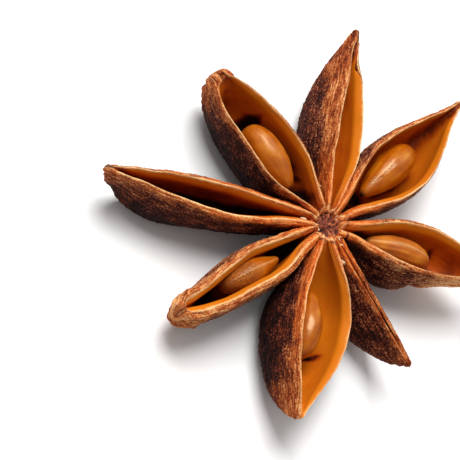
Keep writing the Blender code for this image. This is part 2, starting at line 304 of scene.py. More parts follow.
@dataclass
class Shell:
    """The surfaces of one carpel, worked out for whole arrays of places along it."""

    sizes: Sizes

    def __post_init__(self) -> None:
        """Work out the carpel's own directions."""
        turn = math.radians(self.sizes.azimuth)
        self.hub = np.array([HUB_X, HUB_Y, 0.0])
        self.out = np.array([math.cos(turn), math.sin(turn), 0.0])
        self.left = np.array([-math.sin(turn), math.cos(turn), 0.0])
        self.up = np.array([0.0, 0.0, 1.0])

    def reach(self, s: Array) -> Array:
        """Distance from the pod's axis."""
        return CARPEL_START + (self.sizes.length - CARPEL_START) * s

    def crest_height(self, s: Array) -> Array:
        """Height of the lips above the floor: a straight rise and a low arch."""
        rounding = RIB_END * np.sqrt(np.clip(1 - s / 0.035, 0, 1))
        return HUB_HEIGHT + self.sizes.rise * s + self.sizes.crest * 4 * s * (1 - s) - rounding ** 2 / RIB_END

    def lean(self, s: Array) -> Array:
        """The angle that the section has rolled, which grows from nothing at the column."""
        return math.radians(self.sizes.roll) * ease(s / 0.45)

    def gap(self, s: Array, side: int, start_power: float, thick: float, solid_tip: bool) -> Array:
        """Half of a gap between lips, swelling to its widest and closing at the tip."""
        sizes = self.sizes
        widest, peak = (sizes.left, sizes.left_peak) if side > 0 else (sizes.right, sizes.right_peak)
        point = sizes.right_point if side < 0 and sizes.right_point else sizes.point
        end, point = (0.0, sizes.closing_point) if solid_tip else (sizes.tip_gap, point)
        return SEAM + max(widest - thick - SEAM, 0.0) * swell(s, peak, 0.0, end, start_power, point)

    def opening(self, s: Array, side: int) -> Array:
        """Half of the gap between the lips' inner edges."""
        sizes = self.sizes
        return self.gap(np.minimum(s / sizes.closing, 1), side, sizes.late, sizes.thick, sizes.closing < 1)

    def closed(self, s: Array) -> Array:
        """0 where the carpel has a hollow, 1 in its solid tip."""
        over = self.sizes.closing_over
        return ease((s - self.sizes.closing) / over + 0.5) * (self.sizes.closing < 1)

    def outer_edge(self, s: Array, side: int) -> Array:
        """From the carpel's middle to a lip's outer edge, as on the solid."""
        return self.gap(s, side, 1.7, 0.0, False) + LIP_WIDTH * self.sizes.lip * swell(s, 0.35, 1.5, 0.45, 0.8, 1.0)

    def keel_depth(self, s: Array) -> Array:
        """From the lips down to the keel."""
        sizes = self.sizes
        full = sizes.depth
        if sizes in RESTING:
            full = self.crest_height(np.array(sizes.keel_peak)) + FLOOR_DIP
        return full * swell(s, sizes.keel_peak, sizes.hub_depth, sizes.tip_depth, 0.9, sizes.keel_round)

    def belly(self, s: Array) -> Array:
        """How far the sides stand out halfway down."""
        return self.sizes.belly * swell(s, 0.45, 0.1, 0.12, 1.0, self.sizes.belly_point)

    def swing(self, s: Array, fall: Array) -> Array:
        """How far a point swings to the left towards the tip, by its part of the keel's depth."""
        return self.sizes.keel_swing * ease((s - 0.45) / 0.5) * fall ** 2

    def skin(self, s: Array, side: int, t: Array) -> tuple[Array, Array]:
        """Across and up offsets of the outside: a quarter oval with a belly, from the lip to the keel."""
        knob = self.sizes.knob * np.exp(-((s - KNOB_PLACE) / KNOB_SPREAD) ** 2)
        across = (self.outer_edge(s, side) + knob) * np.cos(np.pi * t / 2)
        across = across + self.belly(s) * np.sin(np.pi * t)
        fall = np.sin(np.pi * t / 2)
        swing, drop = self.mouth(s, side)
        kept = 1 - (fall ** 2 if side > 0 else fall)
        return (side * across + self.swing(s, fall) + swing * kept,
                -(self.keel_depth(s) + knob) * fall - drop * kept)

    def lining(self, s: Array, side: int, t: Array) -> tuple[Array, Array]:
        """The same for the hollow, which grows shallow towards the column and the tip."""
        spread = np.maximum(self.belly(s) - SIDE_WALL_EXTRA, 0.0) * self.sizes.hollow
        across = self.opening(s, side) * np.cos(np.pi * t / 2) + spread * np.sin(np.pi * t)
        fade = np.sin(np.clip(s / 0.3, 0, 1) * np.pi / 2) * ease((1.03 * self.sizes.closing - s) / 0.22)
        deep = (self.keel_depth(s) - KEEL_WALL) * self.sizes.hollow * fade
        sunk = self.sink(s)
        deep = sunk + np.maximum(deep - sunk, 0.02 * MM) * np.sin(np.pi * t / 2) * (1 - 0.7 * self.closed(s))
        swing, drop = self.mouth(s, side)
        return side * across + self.swing(s, deep / self.keel_depth(s)) + swing, -deep - drop

    def sink(self, s: Array) -> Array:
        """How far a lip's inner edge lies below its outer edge: least at the column, above it in a solid tip."""
        open_part = LIP_BEVEL * self.sizes.bevel * swell(s, 0.45, 0.3, 0.15, 1.6, 1.0)
        return open_part * (1 - self.closed(s)) - 1.6 * LIP_CROWN * self.closed(s) * self.sizes.tip_lift

    def crest(self, s: Array, side: int) -> Array:
        """Where a lip's crest is, from 0 at its inner edge to 1 at its outer edge: far in near the column."""
        kept = self.sizes.left_crest if side > 0 else self.sizes.right_crest
        return (RIB_CREST + (kept - RIB_CREST) * ease((s - 0.05) / 0.4)) * (1 - 0.9 * self.closed(s))

    def crown(self, s: Array, side: int, step: Array) -> tuple[Array, Array]:
        """The lip: a smooth bevel up from its inner edge (step 0) to the crest (0.5), a rough slope out (1)."""
        width = self.outer_edge(s, side) - self.opening(s, side)
        crest = self.crest(s, side)
        knob = self.sizes.knob * np.exp(-((s - KNOB_PLACE) / KNOB_SPREAD) ** 2)
        u = np.where(step < 0.5, 2 * step * crest, crest + (2 * step - 1) * (1 - crest))
        across = self.opening(s, side) + (width + knob) * u
        rounded = 1 - ease(s / 0.3)
        tall = LIP_CROWN * np.minimum(width / LIP_WIDTH, 1.0) * (1 + 0.7 * rounded + self.sizes.tip_lift * self.closed(s))
        climb = (1 - rounded) * np.clip(2 * step, 0, 1) ** 0.8 + rounded * np.sin(np.pi * np.minimum(step, 0.5))
        fall = 1 - np.clip(2 * step - 1, 0, 1) ** (1.7 + 0.6 * rounded)
        up = np.where(step < 0.5, (tall + self.sink(s)) * climb - self.sink(s), tall * fall)
        swing, drop = self.mouth(s, side)
        return side * across + swing, up - drop

    def mouth(self, s: Array, side: int) -> tuple[Array, Array]:
        """How far a lip has swung to the left, and dropped, on its way to the tip."""
        start = self.sizes.mouth_from
        part = ease((s - start) / (0.9 - start))
        share = 1.0 if side > 0 else self.sizes.right_swing
        return self.sizes.mouth_swing * share * part, self.sizes.mouth_drop * part

    def place(self, s: Array, across: Array, up: Array, outside: Array | float) -> Array:
        """Put section offsets in space, rolled, and pressed flat against the neighbours near the column.

        Args:
            s: Places along the carpel.
            across: Offsets to the left.
            up: Offsets above the lips.
            outside: 1 on the skin, 0 on the lining, between them across the lip.

        Returns:
            Points, with one more axis than the offsets.
        """
        roll = self.lean(s)
        sideways = across * np.cos(roll) - up * np.sin(roll)
        height = self.crest_height(s) + across * np.sin(roll) + up * np.cos(roll)
        reach = self.reach(s)
        keep = outside * PRESS_OVERLAP - (1 - outside) * SHARED_WALL
        keep = keep + RELEASE * ease((reach - RELEASE_START) / RELEASE_LENGTH)
        softness = outside * PRESS_SOFTNESS + (1 - outside) * SEAM / 2
        for side in (1, -1):
            limit = np.maximum(reach * math.tan(wedge(self.sizes, side)) + keep, SEAM)
            sideways = side * soft_least(side * sideways, limit, softness)
        height = np.maximum(height, 0.0)
        return self.hub + (reach[..., None] * self.out + sideways[..., None] * self.left
                           + height[..., None] * self.up)


def put_mesh(name: str, points: Array, faces: list, values: dict[str, Array]) -> bpy.types.Object:
    """Put points and faces into the scene as one smooth piece.

    Args:
        name: The piece's name.
        points: Rows of x, y, z.
        faces: Lists of corner numbers.
        values: Attributes by name: one number or one vector for each point.

    Returns:
        The new object.
    """
    mesh = bpy.data.meshes.new(name)
    mesh.from_pydata(points, [], faces)
    for label, numbers in values.items():
        kind, key = ("FLOAT_VECTOR", "vector") if numbers.ndim > 1 else ("FLOAT", "value")
        mesh.attributes.new(label, kind, "POINT").data.foreach_set(key, numbers.astype(np.float32).ravel())
    mesh.shade_smooth()
    mesh.validate()
    piece = bpy.data.objects.new(name, mesh)
    bpy.context.scene.collection.objects.link(piece)
    return piece


def ring_faces(rings: int, sides: int) -> Array:
    """Corner numbers of the four-sided faces between neighbouring closed rings."""
    ring, side = np.meshgrid(np.arange(rings - 1), np.arange(sides), indexing="ij")
    following = (side + 1) % sides
    corners = (ring * sides + side, ring * sides + following,
               (ring + 1) * sides + following, (ring + 1) * sides + side)
    return np.stack(corners, axis=-1).reshape(-1, 4)


def closed_tube(rings: Array) -> tuple[Array, list]:
    """Join closed rings into a tube and close each end with a fan of faces to its middle point.

    Args:
        rings: Points by ring and side.

    Returns:
        All points, with the two end points last, and the faces, pointing out.
    """
    count, sides = rings.shape[:2]
    points = rings.reshape(-1, 3)
    ends = np.stack([rings[0].mean(axis=0), rings[-1].mean(axis=0)])
    side = np.arange(sides)
    following = (side + 1) % sides
    last = (count - 1) * sides
    first_fan = np.stack([following, side, np.full(sides, count * sides)], axis=-1)
    last_fan = np.stack([last + side, last + following, np.full(sides, count * sides + 1)], axis=-1)
    faces = ring_faces(count, sides).tolist() + first_fan.tolist() + last_fan.tolist()
    points = np.vstack([points, ends])
    if signed_volume(points, faces) < 0:
        faces = [face[::-1] for face in faces]
    return points, faces


def signed_volume(points: Array, faces: list) -> float:
    """Six times the volume inside the faces, below zero where they point inwards."""
    corners = points[np.array([face[:3] for face in faces])]
    rest = points[np.array([[face[0], face[-2], face[-1]] for face in faces if len(face) > 3])]
    both = np.concatenate([corners, rest])
    return float(np.sum(both[:, 0] * np.cross(both[:, 1], both[:, 2])))


def grid_normals(rings: Array) -> Array:
    """Outward unit normals of closed rings: the cross product of the slopes along and around them."""
    along = np.gradient(rings, axis=0)
    around = np.roll(rings, -1, axis=1) - np.roll(rings, 1, axis=1)
    normal = np.cross(along, around)
    return normal / np.maximum(np.linalg.norm(normal, axis=-1, keepdims=True), 1e-12)


@dataclass
class Carpel:
    """One carpel: a woody shell with a wrinkled skin, rounded lips and a smooth lining."""

    sizes: Sizes
    relief: Relief = Relief.GRANULAR
    band: float = 1.2 * MM             # width of the tan band below the lips
    band_hub: float = 0.3 * MM         # the same near the column
    light: float = 0.0                 # above 0 paler skin than most, below 0 darker
    tip_tan: float = 0.4               # how far the tip is bleached
    tan_from: float = 0.78             # and from where along the carpel
    keel_tan: float = 0.0              # how far the outer half of the keel is rubbed pale
    rib_reach: float = 0.34            # how far the red fibrous rib runs along the carpel
    rib_top: float = 0.35 * MM         # how far the rib reaches over the lip into the hollow
    below_lip_shade: float = 0.15                 # how much redder and darker the lining is below the lips: partly its own colour, partly painted shade
    dark_from: float = 0.5             # where along the hollow's bottom the painted shade, with some dark debris, starts and ends
    dark_to: float = 0.8
    dark_half: float = 0.4 * MM        # its half width
    dark_level: float = 1.0
    deep: float = 0.5                  # how dark the painted shade on the rest of its bottom is
    hub_slit_shade: float = 0.0              # how dark the painted shade in the slit between the column and the seed is
    pale_line: float = 1.0             # how marked the pale line along its lips is, partly paler fibre and partly a painted highlight
    tip_lumps: float = 0.1 * MM        # how lumpy the tip is
    red: float = 0.0                   # how much redder the whole lining is
    low_shade: float = 0.5                 # how much darker the skin is far below the lips: partly its own colour, partly painted shade towards the floor
    hub_shade: float = 0.8             # and near the column: painted shade where the carpels meet
    tip_light: float = 0.0             # how much paler the bleached tip is
    seam_shade: float = 3.0                  # how dark the painted shade of the narrow slit is where the lips meet in a solid tip
    dents: tuple[Dent, ...] = ()
    # Painted shadows in the hollow: round the seed, in the gaps beside it and near the column.
    painted_shadows: tuple[PaintedShadow, ...] = ()
    seed: int = 1

    def build(self) -> bpy.types.Object:
        """Work the shell out on a grid, wrinkle it, and put it into the scene.

        Returns:
            The new piece, with attributes that the finish reads.
        """
        shell = Shell(self.sizes)
        even = np.linspace(0, 1, STATIONS)
        s = (0.72 * even + 0.28 * (1 - np.cos(np.pi * even)) / 2)[:, None]
        rings, outside, crown = self._rings(shell, s)
        rings, s_all = self._with_cap(shell, rings, s)
        values = self._masks(rings, s_all, outside, crown, shell.closed(s_all))
        rings = rings + grid_normals(rings) * self._relief(values, s_all)[..., None]
        rings[..., 2] = np.maximum(rings[..., 2], 0.0)
        points, faces = closed_tube(rings)
        kept = {name: self._with_ends(values[name]) for name in ATTRIBUTES}
        return put_mesh("husk_" + self.sizes.name, points, faces, kept)

    def _rings(self, shell: Shell, s: Array) -> tuple[Array, Array, Array]:
        """One closed ring at each station: crown, skin down and up, crown, and back through the lining.

        Args:
            shell: The carpel's surfaces.
            s: Stations as a column.

        Returns:
            Points by station and side, and for each side its share of skin and its place across the lip.
        """
        down = (np.linspace(0, 1, SKIN_STEPS + 1)[1:])[None]
        across_lip = np.linspace(0, 1, CROWN_STEPS)[None]
        deep = np.linspace(0, 1, LINING_STEPS + 1)[1:][None]
        parts = (
            (shell.crown(s, 1, across_lip), across_lip),
            (shell.skin(s, 1, down), np.ones_like(down)),
            (shell.skin(s, -1, down[:, -2::-1]), np.ones_like(down[:, :-1])),
            (shell.crown(s, -1, across_lip[:, ::-1]), across_lip[:, ::-1]),
            (shell.lining(s, -1, deep), np.zeros_like(deep)),
            (shell.lining(s, 1, deep[:, -2::-1]), np.zeros_like(deep[:, :-1])),
        )
        across = np.concatenate([part[0][0] for part in parts], axis=1)
        up = np.concatenate([np.broadcast_to(part[0][1], part[0][0].shape) for part in parts], axis=1)
        outside = np.concatenate([part[1] for part in parts], axis=1)
        crown = np.concatenate([np.sin(np.pi * part[1]) for part in parts], axis=1)
        wobble = Grain(self.seed + 40)
        reach = shell.reach(s)
        ripple = wobble.layers(reach / (2.4 * MM), np.sign(across) * 3.0, count=2) * 0.07 * MM
        near_lip = np.exp(up / (1.2 * MM)) * ease(s / 0.2) * ease((1 - s) / 0.12)
        across = across + np.sign(across) * ripple * near_lip * self.sizes.lip
        heave = wobble.layers(reach / (3.0 * MM), np.sign(across) * 5.0 + 9.0, count=2) * 0.09 * MM
        up = up + heave * near_lip
        points = shell.place(s, across, up, np.broadcast_to(outside, across.shape))
        ragged = wobble.at(np.sign(across) * 2.7 + 0.5, 0.3) * 0.22 * MM * (1 - ease(s / 0.12))
        return points + ragged[..., None] * shell.out, outside[0], crown[0]

    def _with_cap(self, shell: Shell, rings: Array, s: Array) -> tuple[Array, Array]:
        """Add the shrinking rings of the rounded tip: a quarter oval past the last station.

        Args:
            shell: The carpel's surfaces.
            rings: Points by station and side.
            s: Stations as a column.

        Returns:
            All rings, and the place along the carpel of each, as a column.
        """
        last = rings[-1]
        middle = last[:2 * (CROWN_STEPS + SKIN_STEPS)].mean(axis=0)
        angle = (np.arange(1, CAP_RINGS + 1) / (CAP_RINGS + 1) * np.pi / 2)[:, None, None]
        cap = middle + (last - middle) * np.cos(angle) + shell.out * self.sizes.nose * np.sin(angle)
        return np.concatenate([rings, cap]), np.concatenate([s, np.ones((CAP_RINGS, 1))])

    def _masks(self, rings: Array, s: Array, outside: Array, crown: Array, closed: Array) -> dict[str, Array]:
        """What the finish and the relief need to know of each point.

        Args:
            rings: Points by ring and side.
            s: Place along the carpel of each ring, as a column.
            outside: Each side's share of skin.
            crown: Each side's closeness to the middle of the lip.
            closed: Each ring's share of solid tip, as a column.

        Returns:
            Arrays by name, each by ring and side.
        """
        steps = np.linalg.norm(np.diff(rings, axis=1, append=rings[:, :1]), axis=-1)
        walked = np.cumsum(steps, axis=1) - steps
        keel = CROWN_STEPS + SKIN_STEPS - 1
        right_edge = 2 * (CROWN_STEPS + SKIN_STEPS) - 2
        bottom = right_edge + LINING_STEPS
        left_crest, right_crest = CROWN_STEPS // 2, right_edge - CROWN_STEPS // 2
        around = walked - walked[:, keel:keel + 1]
        total = walked[:, -1:] + steps[:, -1:]
        past = np.minimum(walked - walked[:, left_crest:left_crest + 1],
                          walked[:, right_crest:right_crest + 1] - walked)
        past = np.maximum(past, walked - total - walked[:, left_crest:left_crest + 1])
        to_bottom = np.abs(walked - walked[:, bottom:bottom + 1])
        side = np.where(np.arange(rings.shape[1]) <= keel, 1, -1)[None]
        reach = CARPEL_START + (self.sizes.length - CARPEL_START) * s
        grain = Grain(self.seed)
        ones = np.ones_like(walked)
        broad = grain.layers(reach / (3.2 * MM), around / (1.6 * MM), 2.0, count=3)
        fine = grain.layers(reach / (0.9 * MM), around / (0.35 * MM), 5.0, count=2)
        frayed = grain.layers(reach / (0.7 * MM), side * 4.0, 8.0, count=3)
        drift = grain.at(reach / (3.0 * MM), side * 6.0, 1.5)
        out = ease(s / 0.35)
        border = self.band_hub * (1 - out) + self.band * out * (0.8 + 0.4 * ease((s - 0.4) / 0.4))
        plum = ease((past - border) / ((0.45 + 0.45 * out) * MM) + 0.5 + 0.5 * broad + 0.3 * fine)
        plum = plum * (1 - self.tip_tan * ease((s - self.tan_from) / 0.2 + 0.25 * broad))
        worn_keel = np.exp(-(around / (0.45 * MM)) ** 2) * ease((s - 0.45) / 0.3) * (0.7 + 0.6 * fine)
        plum = plum * (1 - self.keel_tan * worn_keel)
        # Painted shade in the hollow, with some dark debris along its bottom: darker along the bottom, in the slit by
        # the column and in the painted shadows, and redder below the lips, which is partly the lining's own colour.
        uneven = s + 0.025 * broad
        dark = ease((uneven - self.dark_from) / 0.1 + 0.5) * ease((self.dark_to - uneven) / 0.1 + 0.5)
        slit = self.hub_slit_shade * ease((s - 0.06) / 0.06) * ease((0.3 - s) / 0.1)
        half = np.maximum(self.dark_half * dark, 1.4 * MM * slit)
        shallow = 1 - ease((-past - 0.3 * MM) / (1.6 * MM))
        near = np.clip(1 - (to_bottom + 0.3 * MM * broad - half) / (2.0 * MM), 0, 1)
        dark = self.dark_level * dark + slit
        # Painted shadows round the seeds and in the gaps beside them darken the lining.
        up_wall = walked - walked[:, bottom:bottom + 1]
        painted_shadows = sum((shadow.level * np.exp(-((s - shadow.along) / shadow.half_length) ** 2
                                             - ((up_wall - shadow.up) / shadow.half_width) ** 2)
                       for shadow in self.painted_shadows), np.zeros_like(walked))
        lining_shade = np.maximum(near * (self.deep + (1 - self.deep) * np.clip(dark, 0, 1)),
                              self.below_lip_shade * (1 - shallow)) + self.red + painted_shadows
        torn_end = np.exp(-((s - 0.016) / 0.01) ** 2) * ease(0.3 + 1.5 * fine + 0.8 * frayed) * (past < 0.5 * MM)
        # The pale line along the lips' inner edges: partly paler fibre, partly a painted highlight.
        line = np.exp(-(past / (0.12 * MM * np.maximum(0.8 + 0.5 * frayed, 0.1))) ** 2) * self.pale_line
        line = line * (0.35 + 0.65 * ease(s / 0.3)) * np.clip(0.75 + 0.6 * drift, 0.2, 1) * (1 - 0.8 * closed)
        return {
            "lining": (ease(0.5 - (past + self._rib_top(s)) / (0.1 * MM)) * (1 - closed)
                       * (1 - 0.5 * (1 - ease(s / 0.3)) * shallow)),
            # The attribute depth carries the painted shade of the hollow, with the lining's redder tones.
            "depth": lining_shade * (past < 0),
            "edge": np.clip(line + torn_end, 0, 1.2),
            # Painted shadow lines at the rim, between the column and the carpels' ends.
            "rim_shadow": np.exp(-((s - 0.036) / 0.007) ** 2) * ease(0.3 + 1.5 * frayed + fine) * (past < 0.8 * MM),
            "plum": np.clip(plum, 0, 1) * ones,
            # Painted shade of the closed slit where the lips meet in a solid tip.
            "seam_shade": closed * np.exp(-(to_bottom / (0.16 * MM)) ** 2),
            "rib": ones * (1 - ease((s - 0.06 + 0.05 * broad) / (self.rib_reach - 0.06))),
            "around": side * (past + 20 * MM),
            "past": past,
            "outside": outside[None] * ones,
            "crown": crown[None] * ones,
            "reach": reach * ones,
            "grain": np.stack([reach * ones, side * (past + 20 * MM), ones * self.seed * 3.7 * MM], axis=-1),
        }

    def _rib_top(self, s: Array) -> Array:
        """How far in from the crest the rough rib reaches: some way near the column, nothing further out."""
        return self.rib_top * (1 - ease(s / 0.35)) + 0.5 * MM * (self.sizes is SHUT)

    def _relief(self, values: dict[str, Array], s: Array) -> Array:
        """Height of the skin's wrinkles and grains, in metres; and their tone, kept as the attribute tone, which
        holds painted shade and highlight too.

        Wrinkles are ridged noise stretched along the carpel, grains are fine noise, and dents are broad noise.

        Args:
            values: The masks, to which tone is added.
            s: Place along the carpel of each ring, as a column.

        Returns:
            Heights by ring and side.
        """
        grain = Grain(self.seed + 11)
        reach, around, past = values["reach"], values["around"], values["past"]
        bend = grain.layers(reach / (4.0 * MM), around / (2.5 * MM), 1.0, count=2)
        stretch = {Relief.GRANULAR: 1.3, Relief.STREAKED: 4.0, Relief.KNOBBLY: 0.9}[self.relief]
        wide = {Relief.GRANULAR: 0.42, Relief.STREAKED: 0.4, Relief.KNOBBLY: 0.55}[self.relief]
        lines = grain.at(reach / (stretch * MM), around / (wide * MM) + 1.2 * bend, 3.0)
        wrinkle = 1 - 2.4 * np.abs(lines)
        grains = grain.layers(reach / (0.3 * MM), around / (0.2 * MM) + bend, 9.0, count=2)
        dents = grain.layers(reach / (1.8 * MM), around / (1.1 * MM), 13.0, count=2)
        fibres = grain.layers(reach / (1.6 * MM), around / (0.16 * MM), 21.0, count=2)
        height = 0.5 * wrinkle + 0.5 * grains + 0.5 * dents
        open_skin = ease(past / (1.0 * MM))
        # The tone follows the relief, paler on crests and darker in creases: partly worn colour, partly painted
        # highlight and shade. Painted shade also darkens the skin far below the lips, near the column, in the closed
        # slit and in the shadow lines at the rim.
        values["tone"] = (self.light * (0.3 + 0.7 * open_skin) + open_skin * (0.35 * wrinkle + 0.35 * grains + 0.6 * dents)
                          + (1 - open_skin) * (0.5 * fibres + 0.3 * grains)
                          + 0.2 * np.exp(-(past / (0.35 * MM)) ** 2) * ease(s / 0.3) - self.seam_shade * values["seam_shade"]
                          + self.tip_light * ease((s - self.tan_from) / 0.2) - 2.6 * values["rim_shadow"]
                          - open_skin * (self.hub_shade * (1 - ease((s - 0.08) / 0.4))
                                         + self.low_shade * ease((past - 1.6 * MM) / (2.6 * MM))))
        strength = values["outside"] * (0.15 + 0.85 * open_skin) * (0.3 + 0.7 * ease(s / 0.25))
        hollow_waves = grain.layers(reach / (2.6 * MM), around / (0.9 * MM), 31.0, count=2)
        ends = ease(s / 0.03) * np.where(s >= 1, 0.6, 1.0)
        banded = values["outside"] * (1 - open_skin) * (1 - values["lining"])
        side = np.sign(around)
        sunk = sum((dent.depth * np.exp(-((s - dent.along) / dent.half_length) ** 2
                                        - ((past - dent.down) / dent.half_width) ** 2) * np.isin(side, (dent.side or 1, dent.side or -1))
                    for dent in self.dents), np.zeros_like(around))
        lumps = grain.layers(reach / (1.3 * MM), around / (1.0 * MM), 41.0, count=2) * ease((s - 0.84) / 0.08)
        return ends * (height * 0.1 * MM * strength + (fibres + 0.6 * grains) * 0.035 * MM * banded
                       + lumps * self.tip_lumps * (1 - values["lining"])
                       + hollow_waves * 0.02 * MM * values["lining"]) - sunk

    @staticmethod
    def _with_ends(numbers: Array) -> Array:
        """Flatten values by ring and side, and repeat the first and last ring's for the two end points."""
        flat = numbers.reshape(-1, numbers.shape[2]) if numbers.ndim > 2 else numbers.ravel()
        ends = np.stack([numbers[0].mean(axis=0), numbers[-1].mean(axis=0)])
        return np.concatenate([flat, ends])

    def dress(self, piece: bpy.types.Object, finish: bpy.types.Material) -> None:
        """Give the piece its finish and its body, and hide the pod's solid."""
        piece.data.materials.append(finish)
        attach(piece, BODY)
        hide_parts("pod")


@dataclass
class Column:
    """The short column that the carpels grow on, with a torn, sunken top."""

    radius: float = COLUMN_RADIUS
    rings: int = 70
    sides: int = 120

    def build(self) -> bpy.types.Object:
        """Turn a profile round the axis and roughen it with noise.

        The profile runs from the middle of the dished top, over the rim and down the side to the foot.

        Returns:
            The new piece.
        """
        path = np.linspace(0.02, 1, self.rings)[:, None]
        angle = np.linspace(0, 2 * np.pi, self.sides, endpoint=False)[None]
        corners = np.array([[0.0, 0.25 * MM], [0.5 * self.radius, 0.16 * MM], [0.72 * self.radius, 0.3 * MM],
                            [self.radius, 0.45 * MM], [self.radius, COLUMN_FOOT + 0.6 * MM - COLUMN_TOP],
                            [0.75 * self.radius, COLUMN_FOOT - COLUMN_TOP], [0.0, COLUMN_FOOT - COLUMN_TOP]])
        share = np.array([0.0, 0.22, 0.42, 0.55, 0.8, 0.92, 1.0])
        radius = np.interp(path, share, corners[:, 0]) * np.ones_like(angle)
        height = np.interp(path, share, corners[:, 1]) * np.ones_like(angle)
        grain = Grain(77)
        x, y = radius * np.cos(angle), radius * np.sin(angle)
        torn = grain.layers(x / (0.55 * MM), y / (0.55 * MM), height / (0.6 * MM), count=4)
        spokes = grain.layers(angle * 2.2 + 0 * path, radius / (1.5 * MM), 4.0, count=3)
        top = ease((0.6 - path) / 0.1)
        height = height + top * (0.2 * torn + 0.08 * spokes) * MM * ease(radius / (0.2 * MM))
        rings = np.stack([HUB_X + x, HUB_Y + y, COLUMN_TOP + height], axis=-1)
        points, faces = closed_tube(rings)
        ends = np.zeros(2)
        values = {"relief": np.concatenate([(torn * 0.6 + spokes * 0.5).ravel(), ends]),
                  "rim": np.concatenate([ease((radius / self.radius - 0.55) / 0.4).ravel(), ends])}
        return put_mesh("column", points, faces, values)

    def dress(self, piece: bpy.types.Object, finish: bpy.types.Material) -> None:
        """Give the piece its finish and its body, and hide the pod's solid."""
        piece.data.materials.append(finish)
        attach(piece, BODY)
        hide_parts("pod")


@dataclass(frozen=True)
class Flake:
    """One loose scale of torn fibre near the column."""

    azimuth: float                 # degrees
    reach: float
    height: float                  # above the hub's height
    length: float
    width: float
    turn: float = 0.0              # degrees from pointing away from the column


@dataclass
class Flakes:
    """The pale scales of torn fibre round the column's top, as one piece."""

    flakes: tuple[Flake, ...]
    rings: int = 14
    sides: int = 18

    def build(self) -> bpy.types.Object:
        """Make each flake a flat oval lump, frayed by noise.

        Returns:
            The new piece.
        """
        points, faces, total = [], [], 0
        for number, flake in enumerate(self.flakes):
            lump, own_faces = closed_tube(self._lump(flake, number))
            points.append(lump)
            faces += [[corner + total for corner in face] for face in own_faces]
            total += len(lump)
        return put_mesh("torn_flakes", np.vstack(points), faces, {})

    def _lump(self, flake: Flake, number: int) -> Array:
        """Rings of one flake: an oval section whose girth is the sine from end to end, pushed about by noise."""
        angle = np.linspace(0, np.pi, self.rings + 2)[1:-1, None]
        turn = np.linspace(0, 2 * np.pi, self.sides, endpoint=False)[None]
        grain = Grain(200 + number)
        fray = 1 + 0.5 * grain.layers(2.0 * np.cos(angle) + 3.0, 1.5 * np.cos(turn), 1.5 * np.sin(turn), count=2)
        girth = np.sin(angle) ** 0.6 * fray
        local = np.stack([-np.cos(angle) * flake.length / 2 * np.ones_like(turn),
                          girth * np.cos(turn) * flake.width / 2,
                          girth * np.sin(turn) * flake.width / 5], axis=-1)
        azimuth = math.radians(flake.azimuth)
        middle = np.array([HUB_X + flake.reach * math.cos(azimuth), HUB_Y + flake.reach * math.sin(azimuth),
                           HUB_HEIGHT + flake.height])
        spin = Matrix.Rotation(math.radians(flake.azimuth + flake.turn), 3, "Z")
        return local @ np.array(spin).T + middle

    def dress(self, piece: bpy.types.Object, finish: bpy.types.Material) -> None:
        """Give the piece its finish and its body, and hide the pod's solid."""
        piece.data.materials.append(finish)
        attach(piece, BODY)
        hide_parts("pod")


